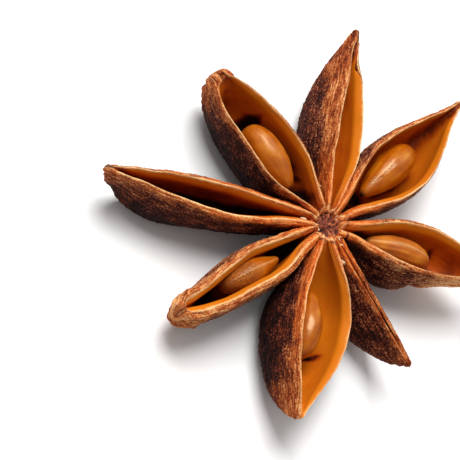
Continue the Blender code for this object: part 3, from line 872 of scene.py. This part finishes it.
@dataclass
class Bean:
    """One seed: an egg-shaped bean with a pointed end, a low ridge along its top and a scar at its point."""

    carpel: Sizes
    along: float
    across: float
    below: float
    length: float
    width: float
    height: float
    turn: float = 0.0
    lean: float = 0.0
    point: float = 0.25                # how far the end towards the column is drawn out to a point
    club: float = 0.06                 # how much thicker the outer end is
    ridge: float = 0.0                 # how marked the line along its top is
    ribs: float = 0.3                  # how marked its fine lengthwise ribs are
    rough: float = 0.0                 # how much of its outer end is rough and brown
    dull: float = 0.0                  # how far its gloss is gone
    seed: int = 3

    def build(self) -> bpy.types.Object:
        """Carry an oval section along the bean, its girth the sine of the angle from end to end.

        Returns:
            The new piece.
        """
        shell = Shell(self.carpel)
        angle = np.linspace(0, np.pi, SEED_RINGS + 2)[1:-1, None]
        turn = np.linspace(0, 2 * np.pi, SEED_SIDES, endpoint=False)[None]
        hub_end = ease((np.cos(angle) + 0.1) / 1.1)
        girth = np.sin(angle) ** 0.85 * (1 - self.club * np.cos(angle)) * (1 - self.point * hub_end)
        grain = Grain(self.seed)
        flow = -np.cos(angle) * self.length / 2
        arc = turn * self.width / 2
        lines = grain.layers(flow / (3.5 * MM), arc / (0.3 * MM), 2.0, count=2)
        dimples = grain.layers(flow / (1.2 * MM), arc / (0.8 * MM), 8.0, count=2)
        grains = grain.layers(flow / (0.2 * MM), arc / (0.2 * MM), 5.0, count=2)
        ridge = self.ridge * np.exp(-((turn - np.pi / 2) / 0.07) ** 2) * ease(np.sin(angle) / 0.5)
        rough = ease((-np.cos(angle) - 1 + 2 * self.rough) / 0.5 + 0.5 * dimples) * (self.rough > 0)
        pushed = (0.05 * self.ribs * lines + 0.03 * dimples + 0.05 * rough * grains) * MM * np.sin(angle)
        pushed = pushed + 0.035 * MM * ridge
        side = girth * np.cos(turn) * (self.width / 2 + pushed)
        rise = girth * np.sin(turn) * (self.height / 2 + pushed)
        local = np.stack([flow * np.ones_like(turn), side, rise], axis=-1)
        rings = local @ self._frame(shell).T + self._middle(shell)
        points, faces = closed_tube(rings)
        along = (1 - np.cos(angle)) / 2 * np.ones_like(turn)
        shade = (0.3 + self.ribs) * lines + 0.4 * dimples
        marks = {name: np.concatenate([(values * np.ones_like(along)).ravel(), ends])
                 for name, values, ends in (("along", along, (0.0, 1.0)), ("ridge", ridge, (0.0, 0.0)),
                                            ("lines", shade, (0.0, 0.0)), ("rough", rough, (0.0, 0.0)),
                                            ("dull", np.clip(self.dull + rough, 0, 1), (self.dull, self.dull)))}
        return put_mesh("bean_" + self.carpel.name, points, faces, marks)

    def _middle(self, shell: Shell) -> Array:
        """The bean's middle, below the lips of its carpel."""
        at = np.array(self.along)
        return shell.place(at, np.array(self.across), np.array(-self.below), 1.0)

    def _frame(self, shell: Shell) -> Array:
        """The bean's own directions as columns: out, left and up, rolled, leaned and turned."""
        roll = float(shell.lean(np.array(self.along)))
        side = shell.left * math.cos(roll) + shell.up * math.sin(roll)
        up = shell.up * math.cos(roll) - shell.left * math.sin(roll)
        base = Matrix((Vector(shell.out), Vector(side), Vector(up))).transposed()
        turned = Matrix.Rotation(math.radians(self.turn), 3, "Z") @ Matrix.Rotation(math.radians(self.lean), 3, "X")
        return np.array(base @ turned)

    def dress(self, piece: bpy.types.Object, finish: bpy.types.Material) -> None:
        """Give the piece its finish and its body, and hide its seed's solid."""
        piece.data.materials.append(finish)
        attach(piece, BODY)
        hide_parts("seed_" + self.carpel.name)


def new_material(name: str) -> tuple[bpy.types.Material, bpy.types.NodeTree, bpy.types.Node]:
    """A material with its node tree and its shader."""
    material = bpy.data.materials.new(name)
    material.use_nodes = True
    return material, material.node_tree, material.node_tree.nodes["Principled BSDF"]


def add_node(tree: bpy.types.NodeTree, kind: str, inputs: dict | None = None,
             stops: tuple[tuple[float, str], ...] = (), **settings: object) -> bpy.types.Node:
    """Add a node, set it up, and set or link its inputs.

    Args:
        tree: The node tree.
        kind: The node's type name.
        inputs: Values or other nodes' sockets, by input name or number.
        stops: For a colour ramp, its places and hex colours.
        **settings: The node's own properties.

    Returns:
        The node.
    """
    node = tree.nodes.new(kind)
    for name, value in settings.items():
        setattr(node, name, value)
    for name, value in (inputs or {}).items():
        if isinstance(value, bpy.types.NodeSocket):
            tree.links.new(value, node.inputs[name])
        else:
            node.inputs[name].default_value = value
    for number, (place, code) in enumerate(stops):
        elements = node.color_ramp.elements
        element = elements[number] if number < 2 else elements.new(place)
        element.position, element.color = place, linear(code)
    return node


MIX_COLOUR = {"data_type": "RGBA"}
FACTOR, COLOUR_A, COLOUR_B, COLOUR_OUT = 0, 6, 7, 2


@dataclass(frozen=True)
class HuskFinish:
    """Dried woody pericarp: skin shrunk into wrinkles as it dried, split lips, and a smooth inner lining.

    The skin is matt and dark plum in its creases with tan worn grains, partly its own colour and partly painted shade
    and highlight; the lining has a satin gloss and painted shade towards its bottom.
    """

    skin: tuple[tuple[float, str], ...] = ((0.0, "#0E0404"), (0.36, "#301009"), (0.58, "#5A2214"),
                                           (0.8, "#8C4528"), (1.0, "#B67C50"))
    band: tuple[tuple[float, str], ...] = ((0.0, "#2C0D05"), (0.35, "#7C3214"), (0.57, "#A65224"),
                                           (0.8, "#C67E46"), (1.0, "#DFA670"))
    rib: tuple[tuple[float, str], ...] = ((0.0, "#64200A"), (0.4, "#AE4814"), (0.65, "#CE6826"),
                                          (1.0, "#E8A45E"))
    # The lining's darker stops carry the painted shade deep in the hollow.
    lining: tuple[tuple[float, str], ...] = ((0.0, "#C86E10"), (0.25, "#C6600E"), (0.45, "#AA480C"),
                                             (0.7, "#662208"), (0.92, "#180A07"))
    # Pale colour of the lips' split edges and torn ends, which also paints a highlight along the lips' inner edges.
    edge: str = "#F2C488"
    grain_size: float = 0.14 * MM
    fibre_width: float = 0.13 * MM
    blotch_size: float = 2.4 * MM

    def material(self) -> bpy.types.Material:
        """Blend skin, band, rib, lip and lining by the shell's attributes.

        Returns:
            The material.
        """
        material, tree, shader = new_material("dried_woody_husk")
        read = {name: add_node(tree, "ShaderNodeAttribute", attribute_name=name).outputs["Fac"]
                for name in ATTRIBUTES}
        flow = add_node(tree, "ShaderNodeAttribute", attribute_name="grain")
        place = add_node(tree, "ShaderNodeTexCoord")
        specks = add_node(tree, "ShaderNodeTexNoise", {"Vector": place.outputs["Object"],
                                                       "Scale": per_size(self.grain_size), "Detail": 2.0})
        stretched = add_node(tree, "ShaderNodeMapping", {"Vector": flow.outputs["Vector"],
                                                         "Scale": (0.12, 1.0, 1.0)})
        fibres = add_node(tree, "ShaderNodeTexNoise", {"Vector": stretched.outputs["Vector"],
                                                       "Scale": per_size(self.fibre_width), "Detail": 2.0})
        blotches = add_node(tree, "ShaderNodeTexNoise", {"Vector": place.outputs["Object"],
                                                         "Scale": per_size(self.blotch_size), "Detail": 3.0})
        fine = add_node(tree, "ShaderNodeMath", {0: specks.outputs["Fac"], 1: fibres.outputs["Fac"]},
                        operation="ADD")
        # The attribute tone carries the skin's own tones with painted shade and highlight in them.
        height = add_node(tree, "ShaderNodeMath", {0: read["tone"], 1: 0.3, 2: 0.5}, operation="MULTIPLY_ADD")
        ramps = []
        for stops, speck_share, fibre_share in ((self.skin, 2.0, 1.1), (self.band, 1.1, 1.6)):
            middle = add_node(tree, "ShaderNodeMath", {0: height.outputs[0],
                                                       1: (speck_share + fibre_share) / 2}, operation="SUBTRACT")
            dotted = add_node(tree, "ShaderNodeMath", {0: specks.outputs["Fac"], 1: speck_share,
                                                       2: middle.outputs[0]}, operation="MULTIPLY_ADD")
            tone = add_node(tree, "ShaderNodeMath", {0: fibres.outputs["Fac"], 1: fibre_share,
                                                     2: dotted.outputs[0]},
                            operation="MULTIPLY_ADD", use_clamp=True)
            ramps.append(add_node(tree, "ShaderNodeValToRGB", {"Fac": tone.outputs[0]}, stops))
        skin, band = ramps
        rib_base = add_node(tree, "ShaderNodeMath", {0: read["tone"], 1: 0.3, 2: -0.48}, operation="MULTIPLY_ADD")
        rib_dots = add_node(tree, "ShaderNodeMath", {0: specks.outputs["Fac"], 1: 0.9, 2: rib_base.outputs[0]},
                            operation="MULTIPLY_ADD")
        rib_tone = add_node(tree, "ShaderNodeMath", {0: fibres.outputs["Fac"], 1: 1.2, 2: rib_dots.outputs[0]},
                            operation="MULTIPLY_ADD", use_clamp=True)
        rib = add_node(tree, "ShaderNodeValToRGB", {"Fac": rib_tone.outputs[0]}, self.rib)
        worn = add_node(tree, "ShaderNodeMix", {FACTOR: read["rib"], COLOUR_A: band.outputs["Color"],
                                                COLOUR_B: rib.outputs["Color"]}, **MIX_COLOUR)
        outer = add_node(tree, "ShaderNodeMix", {FACTOR: read["plum"], COLOUR_A: worn.outputs[COLOUR_OUT],
                                                 COLOUR_B: skin.outputs["Color"]}, **MIX_COLOUR)
        clouds = add_node(tree, "ShaderNodeMath", {0: blotches.outputs["Fac"], 1: 0.5, 2: -0.25},
                          operation="MULTIPLY_ADD")
        shade = add_node(tree, "ShaderNodeMath", {0: fine.outputs[0], 1: -0.3, 2: 0.3}, operation="MULTIPLY_ADD")
        clouded = add_node(tree, "ShaderNodeMath", {0: clouds.outputs[0], 1: shade.outputs[0]}, operation="ADD")
        # The attribute depth adds the painted shade of the hollow.
        sunk = add_node(tree, "ShaderNodeMath", {0: clouded.outputs[0], 1: read["depth"]}, operation="ADD",
                        use_clamp=True)
        satin = add_node(tree, "ShaderNodeValToRGB", {"Fac": sunk.outputs[0]}, self.lining)
        body = add_node(tree, "ShaderNodeMix", {FACTOR: read["lining"], COLOUR_A: outer.outputs[COLOUR_OUT],
                                                COLOUR_B: satin.outputs["Color"]}, **MIX_COLOUR)
        # The pale edge: partly the fibre's own paler colour, partly a painted highlight along the lips.
        broken = add_node(tree, "ShaderNodeMath", {0: read["edge"], 1: specks.outputs["Fac"]},
                          operation="MULTIPLY")
        pale_share = add_node(tree, "ShaderNodeMath", {0: broken.outputs[0], 1: 1.9}, operation="MULTIPLY",
                              use_clamp=True)
        pale = add_node(tree, "ShaderNodeMix", {FACTOR: pale_share.outputs[0], COLOUR_A: body.outputs[COLOUR_OUT],
                                                COLOUR_B: linear(self.edge)}, **MIX_COLOUR)
        gloss = add_node(tree, "ShaderNodeMapRange", {"Value": read["lining"], "To Min": 0.8, "To Max": 0.45})
        rough_part = add_node(tree, "ShaderNodeMath", {0: 1.0, 1: read["lining"]}, operation="SUBTRACT")
        bump_height = add_node(tree, "ShaderNodeMath", {0: fine.outputs[0], 1: rough_part.outputs[0]},
                               operation="MULTIPLY")
        bump = add_node(tree, "ShaderNodeBump", {"Strength": 0.8, "Distance": 0.06 * MM,
                                                 "Height": bump_height.outputs[0]})
        tree.links.new(pale.outputs[COLOUR_OUT], shader.inputs["Base Color"])
        tree.links.new(gloss.outputs[0], shader.inputs["Roughness"])
        tree.links.new(bump.outputs["Normal"], shader.inputs["Normal"])
        shader.inputs["Specular IOR Level"].default_value = 0.12
        return material


@dataclass(frozen=True)
class ColumnFinish:
    """Torn wood fibre of the column's top: matt and dark maroon, with paler ends of fibres."""

    tones: tuple[tuple[float, str], ...] = ((0.0, "#1E0906"), (0.35, "#6A2814"), (0.6, "#A05026"),
                                            (0.85, "#CE9466"), (1.0, "#EBC79C"))
    fibre_size: float = 0.22 * MM

    def material(self) -> bpy.types.Material:
        """Colour by the relief, broken up by fine noise.

        Returns:
            The material.
        """
        material, tree, shader = new_material("torn_wood_fibre")
        relief = add_node(tree, "ShaderNodeAttribute", attribute_name="relief")
        rim = add_node(tree, "ShaderNodeAttribute", attribute_name="rim")
        place = add_node(tree, "ShaderNodeTexCoord")
        specks = add_node(tree, "ShaderNodeTexNoise", {"Vector": place.outputs["Object"],
                                                       "Scale": per_size(self.fibre_size), "Detail": 3.0})
        base = add_node(tree, "ShaderNodeMath", {0: relief.outputs["Fac"], 1: 0.5, 2: -0.35},
                        operation="MULTIPLY_ADD")
        raised = add_node(tree, "ShaderNodeMath", {0: rim.outputs["Fac"], 1: 0.3, 2: base.outputs[0]},
                          operation="MULTIPLY_ADD")
        tone = add_node(tree, "ShaderNodeMath", {0: specks.outputs["Fac"], 1: 1.3, 2: raised.outputs[0]},
                        operation="MULTIPLY_ADD", use_clamp=True)
        colour = add_node(tree, "ShaderNodeValToRGB", {"Fac": tone.outputs[0]}, self.tones)
        bump = add_node(tree, "ShaderNodeBump", {"Strength": 0.6, "Distance": 0.04 * MM,
                                                 "Height": specks.outputs["Fac"]})
        tree.links.new(colour.outputs["Color"], shader.inputs["Base Color"])
        tree.links.new(bump.outputs["Normal"], shader.inputs["Normal"])
        shader.inputs["Roughness"].default_value = 0.85
        return material


@dataclass(frozen=True)
class FlakeFinish:
    """Dry torn scales of wood fibre: matt, pale cream with tan ends."""

    tones: tuple[tuple[float, str], ...] = ((0.35, "#8E5C36"), (0.5, "#C89E72"), (0.68, "#F0DCBC"))
    fibre_size: float = 0.12 * MM

    def material(self) -> bpy.types.Material:
        """Colour by fine noise.

        Returns:
            The material.
        """
        material, tree, shader = new_material("torn_fibre_flakes")
        place = add_node(tree, "ShaderNodeTexCoord")
        specks = add_node(tree, "ShaderNodeTexNoise", {"Vector": place.outputs["Object"],
                                                       "Scale": per_size(self.fibre_size), "Detail": 2.0})
        colour = add_node(tree, "ShaderNodeValToRGB", {"Fac": specks.outputs["Fac"]}, self.tones)
        tree.links.new(colour.outputs["Color"], shader.inputs["Base Color"])
        shader.inputs["Roughness"].default_value = 0.9
        return material


@dataclass(frozen=True)
class SeedFinish:
    """Hard seed coat, waxed smooth as it ripened: amber brown, with a gloss whose reflections are painted warm, and
    soft lengthwise streaks.
    """

    tones: tuple[tuple[float, str], ...] = ((0.0, "#743003"), (0.5, "#A65205"), (1.0, "#C27A16"))
    ridge: str = "#E8B878"
    rough: str = "#7A3A0A"
    pit_size: float = 0.12 * MM
    scar: str = "#2A120A"
    reflection_tint: str = "#FFE2A8"             # a painted warm tint on all that the wax reflects, standing in for the hollow's amber walls
    streak_size: float = 0.5 * MM

    def material(self) -> bpy.types.Material:
        """Streaks by the bean's own lines, a paler ridge, a dark scar at the point.

        Returns:
            The material.
        """
        material, tree, shader = new_material("waxy_seed_coat")
        read = {name: add_node(tree, "ShaderNodeAttribute", attribute_name=name)
                for name in ("along", "ridge", "lines", "rough", "dull")}
        place = add_node(tree, "ShaderNodeTexCoord")
        clouds = add_node(tree, "ShaderNodeTexNoise", {"Vector": place.outputs["Object"],
                                                       "Scale": per_size(self.streak_size * 3), "Detail": 3.0})
        tone = add_node(tree, "ShaderNodeMath", {0: read["lines"].outputs["Fac"], 1: 0.3,
                                                 2: clouds.outputs["Fac"]},
                        operation="MULTIPLY_ADD", use_clamp=True)
        coat = add_node(tree, "ShaderNodeValToRGB", {"Fac": tone.outputs[0]}, self.tones)
        ridge_share = add_node(tree, "ShaderNodeMath", {0: read["ridge"].outputs["Fac"], 1: 0.5},
                               operation="MULTIPLY")
        ridged = add_node(tree, "ShaderNodeMix", {FACTOR: ridge_share.outputs[0],
                                                  COLOUR_A: coat.outputs["Color"],
                                                  COLOUR_B: linear(self.ridge)}, **MIX_COLOUR)
        at_point = add_node(tree, "ShaderNodeMapRange", {"Value": read["along"].outputs["Fac"],
                                                         "From Min": 0.0, "From Max": 0.05,
                                                         "To Min": 1.0, "To Max": 0.0})
        scarred = add_node(tree, "ShaderNodeMix", {FACTOR: at_point.outputs[0],
                                                   COLOUR_A: ridged.outputs[COLOUR_OUT],
                                                   COLOUR_B: linear(self.scar)}, **MIX_COLOUR)
        pits = add_node(tree, "ShaderNodeTexNoise", {"Vector": place.outputs["Object"],
                                                     "Scale": per_size(self.pit_size), "Detail": 1.0})
        pitted = add_node(tree, "ShaderNodeMath", {0: pits.outputs["Fac"], 1: 5.0, 2: -1.9},
                          operation="MULTIPLY_ADD", use_clamp=True)
        mottle = add_node(tree, "ShaderNodeMath", {0: read["rough"].outputs["Fac"], 1: pitted.outputs[0]},
                          operation="MULTIPLY")
        worn = add_node(tree, "ShaderNodeMix", {FACTOR: mottle.outputs[0],
                                                COLOUR_A: scarred.outputs[COLOUR_OUT],
                                                COLOUR_B: linear(self.rough)}, **MIX_COLOUR)
        gloss = add_node(tree, "ShaderNodeMapRange", {"Value": read["dull"].outputs["Fac"],
                                                      "To Min": 0.27, "To Max": 0.75})
        bump = add_node(tree, "ShaderNodeBump", {"Strength": 0.5, "Distance": 0.03 * MM,
                                                 "Height": pits.outputs["Fac"]})
        tree.links.new(bump.outputs["Normal"], shader.inputs["Normal"])
        tree.links.new(worn.outputs[COLOUR_OUT], shader.inputs["Base Color"])
        tree.links.new(gloss.outputs[0], shader.inputs["Roughness"])
        shader.inputs["Specular IOR Level"].default_value = 0.7
        # Painted reflection: the warm tint stands in for the amber walls that the wax would reflect.
        shader.inputs["Specular Tint"].default_value = linear(self.reflection_tint)
        shader.inputs["Coat Weight"].default_value = 0.2
        shader.inputs["Coat Roughness"].default_value = 0.22
        return material


@dataclass(frozen=True)
class Studio:
    """A white floor, soft light from above, and the camera."""

    elevation: float = 57.0            # degrees that the camera looks down
    roll: float = 35.0                 # degrees between the picture's right and the pod's +Y
    distance: float = 300 * MM
    frame_width: float = 39.79 * MM    # what the picture spans at the hub
    hub_right: float = 8.607 * MM      # the hub's place in the picture, from its middle
    hub_up: float = 0.519 * MM
    floor_size: float = 3.0

    def build(self) -> None:
        """Make the floor, the lights, the world and the camera."""
        self._floor()
        self._lights()
        self._camera()

    def _floor(self) -> None:
        """A wide white sheet just under the pod."""
        half = self.floor_size / 2
        corners = np.array([(-half, -half, 0.0), (half, -half, 0.0), (half, half, 0.0), (-half, half, 0.0)])
        floor = put_mesh("floor", corners, [[0, 1, 2, 3]], {})
        material, _, shader = new_material("white_paper")
        shader.inputs["Base Color"].default_value = linear("#F6F5F4")
        shader.inputs["Roughness"].default_value = 0.9
        floor.data.materials.append(material)

    def _lights(self) -> None:
        """A large soft box above and behind the pod, and white surroundings."""
        scene = bpy.context.scene
        world = bpy.data.worlds.new("white_room")
        scene.world = world
        world.use_nodes = True
        world.node_tree.nodes["Background"].inputs["Color"].default_value = (1.0, 1.0, 1.0, 1.0)
        world.node_tree.nodes["Background"].inputs["Strength"].default_value = 0.36
        self._soft_box("soft_box", Vector((-0.18, 0.06, 0.38)), 0.26, 2.4)
        self._soft_box("fill_box", Vector((0.016, 0.277, 0.30)), 0.26, 0.2)
        scene.view_settings.view_transform = "Standard"

    def _soft_box(self, name: str, place: Vector, size: float, power: float) -> None:
        """One square area light, aimed at the pod."""
        light = bpy.data.lights.new(name, "AREA")
        light.energy, light.size = power, size
        lamp = bpy.data.objects.new(name, light)
        lamp.location = place
        lamp.rotation_euler = place.to_track_quat("Z", "Y").to_euler()
        bpy.context.scene.collection.objects.link(lamp)

    def _camera(self) -> None:
        """Look down on the pod, rolled so that its +Y points to the picture's upper right."""
        tilt, roll = math.radians(self.elevation), math.radians(self.roll)
        back = Vector((0.0, -math.cos(tilt), math.sin(tilt)))
        away = Vector((0.0, math.sin(tilt), math.cos(tilt)))
        across = Vector((1.0, 0.0, 0.0))
        right = math.cos(roll) * away + math.sin(roll) * across
        up = math.sin(roll) * away - math.cos(roll) * across
        data = bpy.data.cameras.new("camera")
        data.lens = data.sensor_width * self.distance / self.frame_width
        data.clip_start = 0.01
        camera = bpy.data.objects.new("camera", data)
        bpy.context.scene.collection.objects.link(camera)
        aim = Vector((HUB_X, HUB_Y, HUB_HEIGHT)) - self.hub_right * right - self.hub_up * up
        pose = Matrix((right, up, back)).transposed().to_4x4()
        pose.translation = aim + back * self.distance
        camera.matrix_world = pose
        bpy.context.scene.camera = camera


def carpels() -> list[Carpel]:
    """The eight carpels with their own looks."""
    return [
        Carpel(SLIM, Relief.GRANULAR, band=2.0 * MM, band_hub=1.4 * MM, light=0.1, tip_tan=0.85, tan_from=0.66, tip_light=-0.5,
               rib_reach=0.42, below_lip_shade=0.3, dark_from=0.7, dark_to=1.0, dark_half=0.3 * MM, dark_level=0.2, deep=0.6, seam_shade=1.6, seed=1,
               dents=(Dent(0.82, 0.7 * MM, -1, 0.06, 1.5 * MM, 0.3 * MM),)),
        Carpel(BEAKED, Relief.GRANULAR, band=0.7 * MM, band_hub=0.8 * MM, light=0.45, tip_tan=0.5, below_lip_shade=0.15,
               dark_from=0.55, dark_to=1.0, dark_half=0.1 * MM, dark_level=0.35, hub_slit_shade=0.9,
               painted_shadows=(PaintedShadow(0.3, -0.2 * MM, 0.035, 1.0 * MM, 1.0), PaintedShadow(0.42, -1.3 * MM, 0.05, 0.5 * MM, 0.6),
                        PaintedShadow(0.5, -1.9 * MM, 0.05, 0.5 * MM, 0.6), PaintedShadow(0.58, -2.3 * MM, 0.04, 0.5 * MM, 0.4)),
               seed=2),
        Carpel(WIDE, Relief.GRANULAR, band=0.7 * MM, band_hub=0.6 * MM, light=0.4, tip_tan=1.0, tan_from=0.5, low_shade=0.3, tip_light=0.6, pale_line=0.75,
               below_lip_shade=0.3, deep=0.25, dark_from=0.57, dark_to=0.66, dark_half=1.0 * MM, hub_slit_shade=0.9,
               painted_shadows=(PaintedShadow(0.632, 1.2 * MM, 0.018, 1.4 * MM, 1.0), PaintedShadow(0.78, 0.3 * MM, 0.1, 2.0 * MM, 0.3)), seed=3,
               dents=(Dent(0.34, 4.0 * MM, -1, 0.12, 2.0 * MM, -0.65 * MM),
                      Dent(0.55, 4.1 * MM, -1, 0.05, 2.4 * MM, 0.45 * MM),
                      Dent(0.72, 3.8 * MM, -1, 0.16, 2.4 * MM, 0.6 * MM))),
        Carpel(SHUT, Relief.STREAKED, band=0.3 * MM, band_hub=0.6 * MM, light=-0.1, low_shade=0.3, tip_tan=0.3,
               keel_tan=0.6, rib_reach=0.5, pale_line=0.0, seed=4),
        Carpel(BROAD, Relief.GRANULAR, band=1.0 * MM, band_hub=2.2 * MM, light=-0.4, tip_tan=0.85, tan_from=0.74,
               low_shade=1.0, hub_shade=0.0, tip_light=0.5, keel_tan=0.9, rib_reach=0.9, pale_line=0.8, below_lip_shade=0.05, deep=0.2, dark_from=0.66, dark_to=0.73, dark_half=1.6 * MM,
               painted_shadows=(PaintedShadow(0.6, 3.1 * MM, 0.017, 1.3 * MM, 1.0), PaintedShadow(0.58, 4.3 * MM, 0.013, 0.6 * MM, 0.6)),
               seed=5),
        Carpel(BLUNT, Relief.KNOBBLY, band=1.1 * MM, band_hub=0.9 * MM, light=0.6, tip_tan=0.95, below_lip_shade=0.1,
               dark_from=0.62, dark_to=0.86, dark_half=1.5 * MM, hub_slit_shade=0.9, tip_lumps=0.28 * MM, seam_shade=0.6, rib_top=0.9 * MM, seed=6),
        Carpel(LONG, Relief.STREAKED, band=0.7 * MM, band_hub=0.9 * MM, light=-0.05, tip_tan=0.5, low_shade=1.3, rib_reach=0.8, pale_line=1.3,
               below_lip_shade=0.4, dark_from=0.15, dark_to=0.62, dark_half=0.5 * MM, dark_level=0.85, red=0.2, seed=7,
               dents=(Dent(0.7, 4.5 * MM, 1, 0.15, 2.2 * MM, -0.68 * MM),
                      Dent(0.92, 3.6 * MM, 1, 0.045, 2.0 * MM, 0.4 * MM))),
        Carpel(ROUND, Relief.GRANULAR, band=0.7 * MM, band_hub=0.5 * MM, light=-0.35, tip_tan=1.0, tan_from=0.8,
               keel_tan=0.5, below_lip_shade=0.25, dark_from=0.61, dark_to=0.715, dark_half=3.4 * MM, hub_slit_shade=0.6, red=0.05,
               low_shade=1.1, tip_light=0.5, seam_shade=1.0, tip_lumps=0.14 * MM,
               painted_shadows=(PaintedShadow(0.25, -2.4 * MM, 0.04, 0.5 * MM, 0.6), PaintedShadow(0.32, -3.2 * MM, 0.05, 0.5 * MM, 0.5),
                        PaintedShadow(0.08, -1.5 * MM, 0.12, 2.0 * MM, 0.25)),
               seed=8),
    ]


def beans() -> list[Bean]:
    """The five seeds."""
    return [
        Bean(BEAKED, 0.44, -0.15 * MM, 1.9 * MM, 7.2 * MM, 3.0 * MM, 3.4 * MM, club=0.2, seed=21),
        Bean(WIDE, 0.4, 0.35 * MM, 2.15 * MM, 6.4 * MM, 2.8 * MM, 3.6 * MM, point=0.15, ridge=0.7, ribs=0.9,
             dull=1.0, seed=22),
        Bean(BROAD, 0.48, 0.4 * MM, 2.1 * MM, 6.4 * MM, 2.8 * MM, 3.8 * MM, point=0.2, rough=0.15, seed=23),
        Bean(BLUNT, 0.48, 0.55 * MM, 1.95 * MM, 6.4 * MM, 2.5 * MM, 3.8 * MM, point=0.45, ridge=0.8, rough=0.6,
             seed=24),
        Bean(ROUND, 0.44, 0.2 * MM, 2.2 * MM, 6.6 * MM, 3.2 * MM, 4.0 * MM, turn=-4.0, point=0.1, dull=0.35, seed=25),
    ]


def flakes() -> Flakes:
    """The torn scales round the column's top."""
    return Flakes((
        Flake(-130, 2.6 * MM, 0.12 * MM, 0.6 * MM, 0.26 * MM), Flake(-98, 1.2 * MM, -0.1 * MM, 0.25 * MM, 0.15 * MM, 80),
        Flake(126, 1.36 * MM, 0.0, 0.24 * MM, 0.16 * MM, 70), Flake(64, 1.32 * MM, 0.0, 0.24 * MM, 0.15 * MM, 80),
        Flake(87, 1.5 * MM, 0.05 * MM, 0.2 * MM, 0.12 * MM), Flake(-2, 1.66 * MM, 0.1 * MM, 0.34 * MM, 0.22 * MM, 40),
        Flake(-8, 2.1 * MM, 0.15 * MM, 0.36 * MM, 0.2 * MM, 60), Flake(-24, 3.6 * MM, 0.3 * MM, 0.75 * MM, 0.34 * MM, 70),
        Flake(156, 3.5 * MM, 0.05 * MM, 0.3 * MM, 0.14 * MM, 60), Flake(30, 1.35 * MM, 0.0, 0.2 * MM, 0.14 * MM, 75),
        Flake(-165, 1.4 * MM, 0.0, 0.22 * MM, 0.14 * MM, 70), Flake(-55, 1.35 * MM, 0.0, 0.22 * MM, 0.13 * MM, 80)))


def main() -> None:
    """Build and dress every piece, then set up the studio."""
    husk = HuskFinish().material()
    seed_coat = SeedFinish().material()
    torn = ColumnFinish().material()
    pale = FlakeFinish().material()
    for maker, finish in ([(carpel, husk) for carpel in carpels()] + [(Column(), torn), (flakes(), pale)]
                          + [(bean, seed_coat) for bean in beans()]):
        piece = maker.build()
        maker.dress(piece, finish)
        LOG.info("%s: %d faces", piece.name, len(piece.data.polygons))
    Studio().build()


if __name__ == "__main__":
    logging.basicConfig(level=logging.INFO)
    main()
